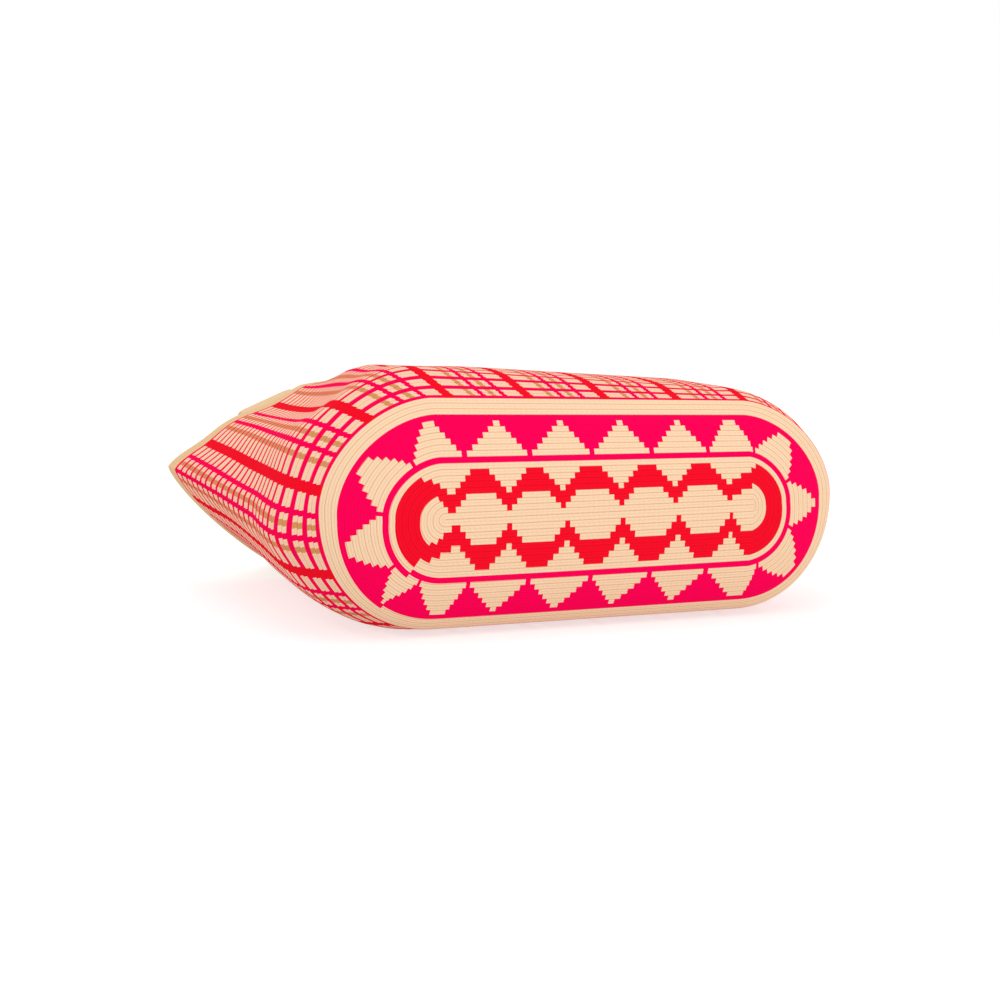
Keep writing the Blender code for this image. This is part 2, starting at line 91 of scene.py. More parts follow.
def section_outline(section, points=160):
    """The closed outline of one section, clockwise from its left end."""
    share, out_left, out_right, rise_left, rise_right, more_left, more_right = section[:7]
    side_left, side_right, round_up, round_low, under, _ = section[7:]
    left, right = -BASE_LENGTH / 2 - out_left, BASE_LENGTH / 2 + out_right
    level_left, level_right = -FOUNDATION - more_left, FOUNDATION + more_right
    turn = np.linspace(0, math.pi / 2, points)

    def corner(flat, end, side, far, power):
        x = flat + (end - flat) * np.cos(turn).clip(0) ** (2 / power)
        z = side + (far - side) * np.sin(turn) ** (2 / power)
        return np.stack([x, np.full(points, (share - 0.5) * WALL_DEPTH), z], axis=-1)

    return np.concatenate([
        corner(level_left, left, side_left, BASE_TOP + rise_left, round_up),
        corner(level_right, right, side_right, BASE_TOP + rise_right, round_up)[::-1],
        corner(level_right, right, side_right, under, round_low)[1:],
        corner(level_left, left, side_left, under, round_low)[::-1][:-1],
    ])


def around(outline, share, start):
    """Points at the given shares of a closed outline's length."""
    closed = np.vstack([outline, outline[:1]])
    run = np.append(0.0, np.cumsum(np.linalg.norm(np.diff(closed, axis=0), axis=1)))
    place = (share * run[-1] + start) % run[-1]
    return np.stack([np.interp(place, run, closed[:, axis]) for axis in range(3)], axis=-1)


OUTLINES = [section_outline(section) for section in SECTIONS]
SECTION_ROUNDS = np.array([section[0] * WALL_ROUNDS for section in SECTIONS])
print("sections at wall rounds", SECTION_ROUNDS.round(1))

# %% Stitches to places
def section_weights(wall_round):
    """How much each section counts at a wall round: a smooth curve through all of them."""
    count = len(SECTION_ROUNDS)
    unit = np.eye(count)
    before = np.clip(np.arange(count) - 1, 0, None)
    after = np.clip(np.arange(count) + 1, None, count - 1)
    slope = (unit[after] - unit[before]) / (SECTION_ROUNDS[after] - SECTION_ROUNDS[before])[:, None]
    index = np.clip(np.searchsorted(SECTION_ROUNDS, wall_round, side="right") - 1, 0, count - 2)
    width = (SECTION_ROUNDS[index + 1] - SECTION_ROUNDS[index])[..., None]
    t = (wall_round - SECTION_ROUNDS[index])[..., None] / width
    return (
        (2 * t**3 - 3 * t**2 + 1) * unit[index]
        + (t**3 - 2 * t**2 + t) * width * slope[index]
        + (3 * t**2 - 2 * t**3) * unit[index + 1]
        + (t**3 - t**2) * width * slope[index + 1]
    )


WIDEST_STITCH, WIDER = 20, 0.13


def stitch_share(stitch):
    """The share of the way round at a stitch. Stitches are a little wider at the upper left."""
    start = math.sin(math.tau * WIDEST_STITCH / STITCHES)
    drift = np.sin(math.tau * (stitch - WIDEST_STITCH) / STITCHES) + start
    return stitch / STITCHES + WIDER / math.tau * drift


def wall_place(stitch, wall_round):
    weights = section_weights(wall_round)
    share = stitch_share(stitch)
    points = sum(
        weights[..., n, None] * around(outline, share, SECTIONS[n][-1])
        for n, outline in enumerate(OUTLINES)
    )
    points[..., 2] = points[..., 2].clip(0)
    return points


# How much tighter the base's last rounds are: everywhere, and more so below and at the right.
CROWD_ALL, CROWD_LOW, CROWD_RIGHT = 0.05, 0.18, 0.27


def base_place(stitch, base_round):
    edge = around(OUTLINES[0], stitch_share(stitch), SECTIONS[0][-1])
    chain = edge.copy()
    chain[..., 0] = np.clip(edge[..., 0], -FOUNDATION, FOUNDATION)
    chain[..., 2] = CHAIN_HEIGHT
    reach = edge - chain
    share = base_round / BASE_ROUNDS
    low = np.clip(-reach[..., 2] / BASE_RADIUS, 0, 1)
    right = np.clip(reach[..., 0] / BASE_RADIUS, 0, 1)
    spread = 1 - (1 - share) ** (1 + CROWD_ALL + CROWD_LOW * low)
    spread = spread ** (1 + CROWD_RIGHT * right)
    points = chain + reach * spread[..., None]
    points[..., 1] -= BASE_DOME * (1 - share**2)
    return points


# %% [markdown]
# ## Folds
#
# The wall isn't fully stretched: at the upper left, where the sack turns from its broad side to
# its narrow edge, it has sunk into long soft folds that run towards the mouth. Each fold is a
# smooth hollow or swell along a line of stitches, pushed in or out along the wall's normal.

# %% Folds of the wall
# Stitch and wall round at the fold's start and end, its half width in stitches, and its height.
FOLDS = (
    (20.0, 6.0, 18.5, 84.0, 7.5, -0.0125),
    (4.0, 0.0, 3.0, 86.0, 5.0, -0.0055),
    (-1.0, 10.0, -1.0, 52.0, 4.0, -0.0030),
    (-5.5, -14.0, -5.0, 24.0, 4.5, 0.0055),
    (-12.0, 14.0, -12.0, 60.0, 4.0, -0.0030),
    (34.0, 12.0, 34.0, 38.0, 7.0, -0.0030),
    (34.0, 46.0, 33.0, 72.0, 7.0, -0.0025),
)
FOLD_START = 6


def fold_height(stitch, wall_round):
    height = np.zeros(np.broadcast(stitch, wall_round).shape)
    for start_stitch, start, end_stitch, end, width, size in FOLDS:
        along = ((wall_round - start) / (end - start)).clip(0, 1)
        line = start_stitch + (end_stitch - start_stitch) * along
        aside = (stitch - line + STITCHES / 2) % STITCHES - STITCHES / 2
        height = height + size * np.exp(-(aside / width) ** 2) * np.sin(math.pi * along)
    return height * np.clip(wall_round / FOLD_START, 0, 1)


def sheet(stitch, row):
    """The smooth outer face at a stitch and a round counted from the middle of the base."""
    stitch, row = np.broadcast_arrays(np.asarray(stitch, float), np.asarray(row, float))
    base = base_place(stitch, np.clip(row, 0, BASE_ROUNDS))
    wall = wall_place(stitch, np.clip(row - BASE_ROUNDS, 0, WALL_ROUNDS))
    return np.where((row < BASE_ROUNDS)[..., None], base, wall)


FLOOR_CLEAR = 0.0002
# The chain itself has no normal, so near it the normals are taken a little further out.
FIRST_ROUND, FIRST_NORMAL = 0.02, 0.5


def outward(stitch, row, step=0.2):
    """Unit normals of the sheet, averaged across the turn at the base's edge."""
    stitch, row = np.broadcast_arrays(np.asarray(stitch, float), np.asarray(row, float))
    low, high = np.maximum(row - step, FIRST_ROUND), np.minimum(row + step, RIM_ROUND)
    along = sheet(stitch, high) - sheet(stitch, low)
    across = sheet(stitch + step, row) - sheet(stitch - step, row)
    normal = np.cross(across, along)
    return normal / np.linalg.norm(normal, axis=-1, keepdims=True).clip(1e-12)


def lifted(stitch, row, height):
    """The sheet moved along its normals, with the folds in it, and never under the floor."""
    fold = fold_height(stitch, row - BASE_ROUNDS)
    normal = outward(stitch, np.maximum(row, FIRST_NORMAL))
    points = sheet(stitch, row) + normal * (fold + height)[..., None]
    points[..., 2] = points[..., 2].clip(FLOOR_CLEAR - np.minimum(height, 0))
    return points


# %% [markdown]
# ## Rounds as real ridges
#
# In this tight crochet each round shows as two fine ridges: the front and back halves of its
# stitches. They are wide enough to cast their own shade, so they are modelled and not only
# painted. A grid gives each piece its rows and columns, and the surface above says where every
# crossing goes. The stitch and round of each corner stay with it as its UV, so the
# colour pattern can follow the yarn.

# %% A piece of crochet from a grid
COLUMNS = 720
RIDGE, RIDGE_ROUND, SECOND_RIDGE, RIDGE_MIDDLE = 0.0004, 0.7, 0.75, 0.6


def ridge_height(row):
    """Two crowns to a round, the second one lower."""
    beat = row % 1.0
    crown = np.abs(np.sin(math.tau * beat)) ** RIDGE_ROUND
    return RIDGE * (crown * np.where(beat < 0.5, 1.0, SECOND_RIDGE) - RIDGE_MIDDLE)


def crochet_piece(name, columns, lines, place):
    """A closed band of crochet: place gives the points for its stitches and lines."""
    bm = bmesh.new()
    bmesh.ops.create_grid(bm, x_segments=columns, y_segments=len(lines) - 1, size=1.0)
    mesh = bpy.data.meshes.new(name)
    bm.to_mesh(mesh)
    flat = np.empty(len(mesh.vertices) * 3)
    mesh.vertices.foreach_get("co", flat)
    grid = flat.reshape(-1, 3)
    stitch = (grid[:, 0] + 1) / 2 * STITCHES
    line = np.rint((grid[:, 1] + 1) / 2 * (len(lines) - 1)).astype(int)
    row = np.asarray(lines)[line]
    points = place(stitch, row, line)
    mesh.vertices.foreach_set("co", points.reshape(-1))
    corners = np.empty(len(mesh.loops), int)
    mesh.loops.foreach_get("vertex_index", corners)
    layer = mesh.uv_layers.new(name="stitch_round")
    layer.data.foreach_set("uv", np.stack([stitch, row], axis=-1)[corners].reshape(-1))
    bm.free()
    return mesh, stitch, row, points


# The end columns are told by their stitch count, and points of the chain closer than about
# half a column's pitch are one point.
SAME_STITCH, CHAIN_REACH = 1e-6, 0.52


def closed_round(mesh, stitch, chain=None):
    """Joins the last column to the first, and both sides of the foundation chain."""
    bm = bmesh.new()
    bm.from_mesh(mesh)
    bm.verts.ensure_lookup_table()
    first = [vertex for vertex in bm.verts if stitch[vertex.index] < SAME_STITCH]
    last = [vertex for vertex in bm.verts if stitch[vertex.index] > STITCHES - SAME_STITCH]
    pitch = STITCH * STITCHES / (len(bm.verts) / len(first) - 1)
    middle = [] if chain is None else [bm.verts[n] for n in np.flatnonzero(chain)]
    bmesh.ops.weld_verts(bm, targetmap=dict(zip(last, first)))
    middle = [vertex for vertex in middle if vertex.is_valid]
    bmesh.ops.remove_doubles(bm, verts=middle, dist=CHAIN_REACH * pitch)
    bm.to_mesh(mesh)
    bm.free()


def finish_piece(mesh, name, node):
    for polygon in mesh.polygons:
        polygon.use_smooth = True
    piece = bpy.data.objects.new(name, mesh)
    bpy.context.scene.collection.objects.link(piece)
    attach(piece, "root")
    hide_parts(node)
    print(name, len(mesh.polygons) * 2, "triangles")
    return piece


def turned_outwards(mesh, normals):
    """Turns the faces over if they look into the bag."""
    face = mesh.polygons[len(mesh.polygons) // 2]
    if face.normal.dot(Vector(normals[face.vertices[0]])) < 0:
        mesh.flip_normals()


# %% [markdown]
# ## The base
#
# The base starts as a foundation chain and grows by twenty rounds, domed a little by what is in
# the bag. The straight sides keep their stitch count and only the two ends gain stitches, so a
# stitch on a straight side is counted along the bag, and one on an end is counted by its angle.
# Where a stitch stands in the colour pattern goes onto the mesh as two attributes: how far it is
# across its cream triangle, and how many stitches it is from the nearest tip of the zigzag.

# %% Tips of the base's pattern
# Edge stitches of the magenta spokes, and of the triangles' tips with half of each tip's width.
SPOKES = np.array((
    0.8, 20.2, 34.1, 46.2, 58.2, 70.3, 82.4, 93.5, 115.6,
    139.0, 162.0, 176.9, 190.7, 204.5, 218.2, 230.7, 243.6, 253.4,
))
TIPS = np.array((
    11.0, 28.1, 40.9, 53.0, 64.8, 76.8, 88.2, 105.0, 127.6,
    149.6, 167.8, 184.2, 198.6, 211.6, 224.7, 236.0, 248.6, 262.4,
))
TIP_WIDTHS = np.array((
    1.9, 1.1, 0.4, 0.4, 0.4, 0.4, 1.25, 2.25, 0.9,
    2.25, 1.9, 0.5, 0.4, 0.6, 0.4, 1.5, 0.2, 1.5,
))
ZIGZAG_TOP = np.array((-0.103, -0.065, -0.028, 0.013, 0.0516, 0.091))
ZIGZAG_LOW = np.array((-0.100, -0.065, -0.025, 0.014, 0.054, 0.093))
# Beyond its last tips the zigzag runs into the red ends: the edge stitches where the red begins
# in the eighth round, at the upper left and right and the lower right and left.
RED_ENDS = (20.25, 94.25, 167.75, 248.0)
TIP_ROUND, RED_START, RED_BEND = 5.0, 3.5, 0.8


def across_triangle(stitch):
    """0 over a triangle's tip, 1 at the spokes beside it."""
    turned = (stitch - SPOKES[0]) % STITCHES + SPOKES[0]
    n = (np.searchsorted(SPOKES, turned, side="right") - 1).clip(0)
    ends = np.append(SPOKES[1:], SPOKES[0] + STITCHES)
    reach = np.where(turned < TIPS[n], TIPS[n] - SPOKES[n], ends[n] - TIPS[n])
    return ((np.abs(turned - TIPS[n]) - TIP_WIDTHS[n]) / (reach - TIP_WIDTHS[n])).clip(0)


def stitches_from_zigzag(stitch, points):
    """Stitches to the nearest tip of the zigzag, along the straight sides and round the ends."""
    top = np.abs(points[:, :1] - ZIGZAG_TOP).min(axis=1) / STITCH
    low = np.abs(points[:, :1] - ZIGZAG_LOW).min(axis=1) / STITCH
    apart = np.where(stitch < STITCHES / 2, top, low)
    counts = np.arange(0, STITCHES, 0.25)
    round_x = base_place(counts, np.full(counts.shape, TIP_ROUND))[:, 0]
    for n, end in enumerate(RED_ENDS):
        tips = ZIGZAG_TOP if n < 2 else ZIGZAG_LOW
        tip = tips[0] if n in (0, 3) else tips[-1]
        on_half = (counts < STITCHES / 2) == (n < 2)
        last = counts[np.argmin(np.where(on_half, np.abs(round_x - tip), 1.0))]
        share = (stitch - last) / (end - last)
        past = (share > 0) & ((stitch < STITCHES / 2) == (n < 2))
        apart = np.where(past, RED_START * share.clip(0) ** RED_BEND, apart)
    return apart


def add_attribute(mesh, name, values):
    layer = mesh.attributes.new(name, "FLOAT", "POINT")
    layer.data.foreach_set("value", values.astype(np.float32))


# %% The base's mesh
LINES_PER_BASE_ROUND = 6


def outside_place(stitch, row, line):
    return lifted(stitch, row, ridge_height(row))


base_lines = np.linspace(0, BASE_ROUNDS, 1 + LINES_PER_BASE_ROUND * BASE_ROUNDS)
base_mesh, stitch, row, points = crochet_piece("bag_base", COLUMNS, base_lines, outside_place)
end_x = np.abs(points[:, 0]) - FOUNDATION
end_angle = np.where(end_x > 0, np.arctan2(points[:, 2] - CHAIN_HEIGHT, end_x), np.pi / 2)
add_attribute(base_mesh, "across_triangle", across_triangle(stitch))
add_attribute(base_mesh, "zigzag_stitches", stitches_from_zigzag(stitch, points))
add_attribute(base_mesh, "end_angle", np.abs(np.pi / 2 - np.abs(end_angle)))
turned_outwards(base_mesh, outward(stitch, row))
closed_round(base_mesh, stitch, chain=row == 0)
bag_base = finish_piece(base_mesh, "bag_base", "bag_body")

# %% [markdown]
# ## The wall and the rim
#
# The wall is 73 rounds in three bands of mesh, so that none grows too heavy. The last band runs
# on over the rim, a little fatter where the last rounds roll outwards, and down inside the mouth,
# where the back of the same stitches shows. A last plain band closes the inside of the bag.

# %% The wall's bands
LINES_PER_ROUND, LOW_ROUNDS, MID_ROUNDS, RIM_ROUNDS = 4, 25, 50, 3
CROWDED_ROUNDS, CROWDING = 12, 0.9
CROWDED_STITCH, CROWDED_WIDTH = 5, 28


def worked_place(stitch, row):
    """The row's place on the sack: at the left end the first wall rounds are worked tighter."""
    beat = ((row - BASE_ROUNDS) / CROWDED_ROUNDS).clip(0, 1)
    aside = (stitch - CROWDED_STITCH + STITCHES / 2) % STITCHES - STITCHES / 2
    return row - CROWDING * np.sin(math.pi * beat) * np.exp(-(aside / CROWDED_WIDTH) ** 2)


def crowded_place(stitch, row, line):
    return lifted(stitch, worked_place(stitch, row), ridge_height(row))


def wall_band(name, first, last):
    lines = BASE_ROUNDS + np.linspace(first, last, 1 + LINES_PER_ROUND * (last - first))
    mesh, stitch, row, _ = crochet_piece(name, COLUMNS, lines, crowded_place)
    turned_outwards(mesh, outward(stitch, row))
    closed_round(mesh, stitch)
    return finish_piece(mesh, name, "bag_body")


bag_wall_low = wall_band("bag_wall_low", 0, LOW_ROUNDS)
bag_wall_mid = wall_band("bag_wall_mid", LOW_ROUNDS, MID_ROUNDS)
bag_wall_high = wall_band("bag_wall_high", MID_ROUNDS, WALL_ROUNDS - RIM_ROUNDS)

# %% The rim and the inside
RIM_SWELL, SWELL_ROUND = 0.0010, 0.7
FACING_ROUNDS, TUCK = 12, 0.0004
INNER_COLUMNS, INNER_LINES = 360, 91


def rim_place(stitch, row, line):
    """The last rounds outside, over the rim in a half turn, and back down the inside."""
    over = np.clip(row - RIM_ROUND, 0, None)
    down = (over - 1).clip(0, None)
    swollen = (row - RIM_ROUND + RIM_ROUNDS).clip(0, RIM_ROUNDS) / RIM_ROUNDS
    swell = RIM_SWELL * np.sin(np.pi / 2 * swollen) ** SWELL_ROUND
    outside = lifted(stitch, np.minimum(row, RIM_ROUND), ridge_height(row) * (over == 0) + swell)
    inside = lifted(stitch, RIM_ROUND - down, TUCK * (down > FACING_ROUNDS) - WALL_THICKNESS)
    turn = (np.pi * over.clip(0, 1))[:, None]
    rolled = (outside + inside) / 2 + (outside - inside) / 2 * np.cos(turn)
    rolled[:, 1] += (WALL_THICKNESS + RIM_SWELL) / 2 * np.sin(turn[:, 0])
    return np.where((over < 1)[:, None], rolled, inside)


rim_lines = np.concatenate([
    np.linspace(RIM_ROUND - RIM_ROUNDS, RIM_ROUND, 1 + LINES_PER_ROUND * RIM_ROUNDS),
    RIM_ROUND + np.linspace(0, 1, 1 + 2 * LINES_PER_ROUND)[1:],
    RIM_ROUND + 1 + np.linspace(0, FACING_ROUNDS + 1, 1 + 2 * (FACING_ROUNDS + 1))[1:],
])
rim_mesh, stitch, row, _ = crochet_piece("bag_rim", COLUMNS, rim_lines, rim_place)
inside_part = row > RIM_ROUND + 1
away = outward(stitch, np.minimum(row, RIM_ROUND)) * np.where(inside_part, -1, 1)[:, None]
turned_outwards(rim_mesh, away)
closed_round(rim_mesh, stitch)
bag_rim = finish_piece(rim_mesh, "bag_rim", "bag_body")


def inner_place(stitch, row, line):
    return lifted(stitch, row, np.full_like(row, -WALL_THICKNESS))


inner_lines = np.linspace(0, RIM_ROUND - FACING_ROUNDS, INNER_LINES)
inner_mesh, stitch, row, _ = crochet_piece(
    "bag_inside", INNER_COLUMNS, inner_lines, inner_place
)
turned_outwards(inner_mesh, -outward(stitch, row))
closed_round(inner_mesh, stitch, chain=row == 0)
bag_inside = finish_piece(inner_mesh, "bag_inside", "bag_body")

# %% [markdown]
# ## The straps
#
# Each strap is a flat crocheted band, sewn inside the rim at both ends. The sewing yarn is kept
# from the CAD model, and it shows where each foot sits: its longest direction runs across the
# strap, the next one along it. From there the upper strap turns down over the mouth and hangs in
# a bow, and the lower one lies on the table behind the bag.

# %% Where the straps are sewn on
STRAP_WIDTH, STRAP_THICKNESS, STRAP_CLEAR = 0.042, 0.005, 0.006
SEAM_YARN, GAP, FOOT_MARGIN = 0.0018, 0.0003, 0.004


def foot_from_seam(name, up):
    """The rim point of a strap's middle line and its directions, from the seam of its foot."""
    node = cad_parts[name]
    corners = np.array([v.co for v in node.data.vertices])
    centre = (corners.min(axis=0) + corners.max(axis=0)) / 2
    spread = np.linalg.svd(corners - corners.mean(axis=0), full_matrices=False)[2]
    across = spread[0] * np.sign(spread[0][0])
    along = spread[1] * np.sign(spread[1][1])
    out = spread[2] * np.sign(spread[2][2]) * up
    half = np.abs((corners - centre) @ along).max() + FOOT_MARGIN
    lift = STRAP_THICKNESS / 2 + GAP + SEAM_YARN / 2
    return centre + along * half + out * lift, along, across, 2 * half


feet = {
    name: foot_from_seam(f"{name}_seam", up)
    for name, up in (("upper_left", 1), ("upper_right", 1), ("lower_left", -1), ("lower_right", -1))
}
for name, foot in feet.items():
    print(name, "foot at", foot[0].round(3), "sewn over", round(1000 * foot[3]), "mm")

# %% Routes of the straps
SIDEWAYS = np.array((1.0, 0.0, 0.0))
HANG_BACK, RISE_BEHIND, FLOOR_GAP = 0.052, 0.005, 0.010
REACH, TURN_IN = 0.161, 0.042
BOW_ANGLES = (25, 48, 70, 90)


def sewn_part(foot):
    rim, along, across, overlap = foot
    places = (-overlap, -overlap / 2, 0.0, STRAP_CLEAR)
    return [rim + along * place for place in places], [across] * len(places)


def upper_half(foot):
    points, widths = sewn_part(foot)
    rim, across = points[-1], widths[-1]
    points += [
        rim + np.array((HANG_BACK * 0.06, HANG_BACK * 0.4, RISE_BEHIND)),
        rim + HANG_BACK * np.array((0.13, 0.86, -0.18)),
        rim + HANG_BACK * np.array((0.19, 1.0, -0.55)),
    ]
    widths += [across, across + SIDEWAYS, SIDEWAYS]
    top, bottom = points[-1], FLOOR_GAP + STRAP_WIDTH / 2
    for angle in np.radians(BOW_ANGLES):
        drop = (bottom - top[2]) * math.sin(angle)
        points.append(np.array((top[0] * math.cos(angle), top[1], top[2] + drop)))
        widths.append(np.array((math.cos(angle), 0.0, math.sin(angle))))
    return points, widths


def lower_half(foot):
    points, widths = sewn_part(foot)
    rim, across = points[-1], widths[-1]
    floor = STRAP_THICKNESS / 2 + 2 * GAP
    points += [
        rim + TURN_IN * np.array((0.24, 0.38, -0.19)),
        np.array((rim[0] + TURN_IN, rim[1] + TURN_IN, floor + TURN_IN * 0.1)),
        np.array((rim[0] + TURN_IN * 1.6, rim[1] + TURN_IN * 1.8, floor)),
        np.array((rim[0] * 0.37, rim[1] + 0.8 * REACH, floor)),
        np.array((0.0, rim[1] + REACH, floor)),
    ]
    widths += [across] + [np.array(w) for w in (
        (0.62, -0.72, -0.10), (0.72, -0.69, 0.0), (0.45, -0.89, 0.0), (0.0, -1.0, 0.0),
    )]
    return points, widths


def both_halves(left, right, half):
    points, widths = half(left)
    flip = np.array((-1.0, 1.0, 1.0))
    rim, along, across, overlap = right
    turned = (rim * flip, along * flip, across * -flip, overlap)
    right_points, right_widths = half(turned)
    points += [p * flip for p in reversed(right_points[:-1])]
    widths += [w * flip for w in reversed(right_widths[:-1])]
    return np.array(points), np.array(widths)


def smooth_route(points, widths, step):
    """A smooth curve through the points, with the width direction carried along."""
    count = len(points)
    knots = np.append(0.0, np.cumsum(np.linalg.norm(np.diff(points, axis=0), axis=1)))
    values = np.hstack([points, widths])
    after = np.minimum(np.arange(count) + 1, count - 1)
    before = np.maximum(np.arange(count) - 1, 0)
    slopes = (values[after] - values[before]) / (knots[after] - knots[before])[:, None]
    place = np.linspace(0, knots[-1], int(knots[-1] / step))
    n = np.clip(np.searchsorted(knots, place, side="right") - 1, 0, count - 2)
    length = (knots[n + 1] - knots[n])[:, None]
    t = (place - knots[n])[:, None] / length
    found = (
        (2 * t**3 - 3 * t**2 + 1) * values[n]
        + (t**3 - 2 * t**2 + t) * length * slopes[n]
        + (3 * t**2 - 2 * t**3) * values[n + 1]
        + (t**3 - t**2) * length * slopes[n + 1]
    )
    return found[:, :3], found[:, 3:], place


# %% [markdown]
# ## A flat band of crochet
#
# A strap is a grid wrapped into a flat tube: its columns go round the section, which has two
# broad faces and round edges, and its lines follow the route. Short rows of stitches run across
# the strap, so the ridges do too.

# %% The straps' meshes
STRAP_ROW, LINES_PER_STRAP_ROW = 0.0040, 4
STRAP_SIDES = 56
# How round the section's ends are, how full it is across, and how deep its rows are cut.
END_ROUND, FACE_ROUND, FULLNESS, ROW_DEPTH = 0.55, 0.42, 0.995, 0.10


def strap_ring(share):
    """Across and out for a share of the way round the strap's flat section."""
    angle = math.tau * share
    across = np.sign(np.cos(angle)) * np.abs(np.cos(angle)) ** END_ROUND
    out = np.sign(np.sin(angle)) * np.abs(np.sin(angle)) ** FACE_ROUND
    return across * STRAP_WIDTH / 2, out * STRAP_THICKNESS / 2


def make_strap(name, left, right, half):
    points, widths = both_halves(feet[left], feet[right], half)
    centres, widths, place = smooth_route(points, widths, STRAP_ROW / LINES_PER_STRAP_ROW)
    along = np.gradient(centres, axis=0)
    along /= np.linalg.norm(along, axis=1, keepdims=True)
    side = widths - along * (widths * along).sum(axis=1, keepdims=True)
    side /= np.linalg.norm(side, axis=1, keepdims=True)
    out = np.cross(along, side)

    def strap_place(stitch, row, line):
        across, lift = strap_ring(stitch / STITCHES)
        beat = np.abs(np.sin(math.pi * place[line] / STRAP_ROW))
        keep = 1 - ROW_DEPTH * (1 - beat) * (np.abs(lift) > STRAP_THICKNESS / 4)
        return (
            centres[line]
            + side[line] * (across * FULLNESS)[:, None]
            + out[line] * (lift * keep)[:, None]
        )

    mesh, stitch, _, _ = crochet_piece(name, STRAP_SIDES, place / STRAP_ROW, strap_place)
    closed_round(mesh, stitch)
    bm = bmesh.new()
    bm.from_mesh(mesh)
    bmesh.ops.holes_fill(bm, edges=[e for e in bm.edges if e.is_boundary], sides=0)
    bmesh.ops.recalc_face_normals(bm, faces=bm.faces)
    bm.to_mesh(mesh)
    bm.free()
    print(name, "is", round(1000 * place[-1]), "mm long")
    return finish_piece(mesh, name, name.replace("band", "strap"))


upper_band = make_strap("upper_band", "upper_left", "upper_right", upper_half)
lower_band = make_strap("lower_band", "lower_left", "lower_right", lower_half)

# %% [markdown]
# ## Shader maths as plain expressions
#
# A material's maths reads best as ordinary arithmetic. This small class wraps a node's output,
# and each operator adds the Math node that does the same. One method adds any other node.

# %% Expressions that become nodes
class Signal:
    def __init__(self, tree, socket):
        self.tree, self.socket = tree, socket

    def maths(self, operation, *values):
        inputs = {f"_{n}": value for n, value in enumerate(values)}
        return add_node(self.tree, "ShaderNodeMath", {"operation": operation}, **inputs)

    def __add__(self, other):
        return self.maths("ADD", self, other)

    def __sub__(self, other):
        return self.maths("SUBTRACT", self, other)

    def __rsub__(self, other):
        return self.maths("SUBTRACT", other, self)

    def __mul__(self, other):
        return self.maths("MULTIPLY", self, other)

    def __truediv__(self, other):
        return self.maths("DIVIDE", self, other)

    def __pow__(self, other):
        return self.maths("POWER", self, other)

    def __lt__(self, other):
        return self.maths("LESS_THAN", self, other)

    def __gt__(self, other):
        return self.maths("GREATER_THAN", self, other)

    def __mod__(self, other):
        return self.maths("FLOORED_MODULO", self, other)

    def floor(self):
        return self.maths("FLOOR", self)

    def abs(self):
        return self.maths("ABSOLUTE", self)

    def most(self, other):
        return self.maths("MAXIMUM", self, other)


def add_node(tree, kind, settings=None, output=0, **inputs):
    """Adds a node: first its settings, then its sockets by name or, as _0, _1, by number."""
    node = tree.nodes.new(kind)
    for key, value in (settings or {}).items():
        setattr(node, key, value)
    for key, value in inputs.items():
        socket = node.inputs[int(key[1:])] if key[1:].isdigit() else node.inputs[key]
        if isinstance(value, Signal):
            tree.links.new(value.socket, socket)
        else:
            socket.default_value = value
    return Signal(tree, node.outputs[output])


# Numbers of the sockets that share a name, or that are reached by number.
MIXED_COLOUR, OBJECT_PLACE, ATTRIBUTE_VALUE = 2, 3, 2


def mixed(tree, share, low, high):
    """The colour between low and high."""
    settings = {"data_type": "RGBA"}
    return add_node(tree, "ShaderNodeMix", settings, MIXED_COLOUR, _0=share, _6=low, _7=high)


def dyed(tree, share, colour, tone):
    """The colour, with a share of it multiplied by a tone."""
    settings = {"data_type": "RGBA", "blend_type": "MULTIPLY"}
    return add_node(tree, "ShaderNodeMix", settings, MIXED_COLOUR, _0=share, _6=colour, _7=tone)


def linear(red, green, blue):
    """A colour given as it looks on a screen, from 0 to 255."""
    values = [v / 255 for v in (red, green, blue)]
    values = [v / 12.92 if v < 0.04045 else ((v + 0.055) / 1.055) ** 2.4 for v in values]
    return (*values, 1.0)


# %% [markdown]
# ## The yarn
#
# All pieces are the same matte cotton in four dyes. Up close every stitch is a little V of two
# plies, and the plies have a twist. The colour is painted a touch darker in the grooves between
# the rounds and the stitches, as painted shade. One function makes this finish from a
# stitch count, a round count and a colour. The rounds are one long spiral, so on the real bag the
# colours jump by a round where one colour round ends and the next begins; another function
# shifts the round count near that line.

# %% The cotton finish
CREAM = linear(248, 216, 181)
MAGENTA = linear(253, 0, 88)
RED = linear(246, 14, 42)
TAN = linear(214, 156, 98)
RIM_CREAM = linear(240, 205, 160)
# Painted shade in the grooves of the base, the rim and the straps. The same colour gives the fibres
# their random tone and the sewing yarn its darker twist bands.
PAINTED_SHADE_AND_YARN_TONE = linear(222, 185, 160)
# Painted shade in the grooves of the patterned wall, tinted pink.
PINK_PAINTED_SHADE = linear(252, 150, 165)
# A stitch's legs lean by half a stitch in a round. The plies are flatter at their edges.
LEAN, PLY_EDGE = 0.5, 0.6
FIBRES_IN_STITCH, FIBRES_IN_ROUND, FIBRE_SCALE = 3.0, 9.0, 1.6
# Grooves' painted shade: how narrow, and how dark between rounds and in the middle of a round.
GROOVE_EDGE, BETWEEN_ROUNDS, IN_ROUND = 5.0, 1.2, 0.4
# LEG_EDGE, LEG_SHADE: how narrow and how dark the painted shade is at the edges of the legs.
# FIBRE_SHADE: how strongly the fibres' random tone varies the colour.
LEG_EDGE, LEG_SHADE, FIBRE_SHADE = 3.0, 0.10, 0.15
PLY_RELIEF, FIBRE_RELIEF = 0.6, 0.3
# Painted shade in the grooves of the wall, the base and the straps, and less on darker dyes.
WALL_GROOVES, BASE_GROOVES, STRAP_GROOVES = 0.8, 0.75, 0.6
LESS_ON_MAGENTA, LESS_ON_RED = 0.5, 0.2


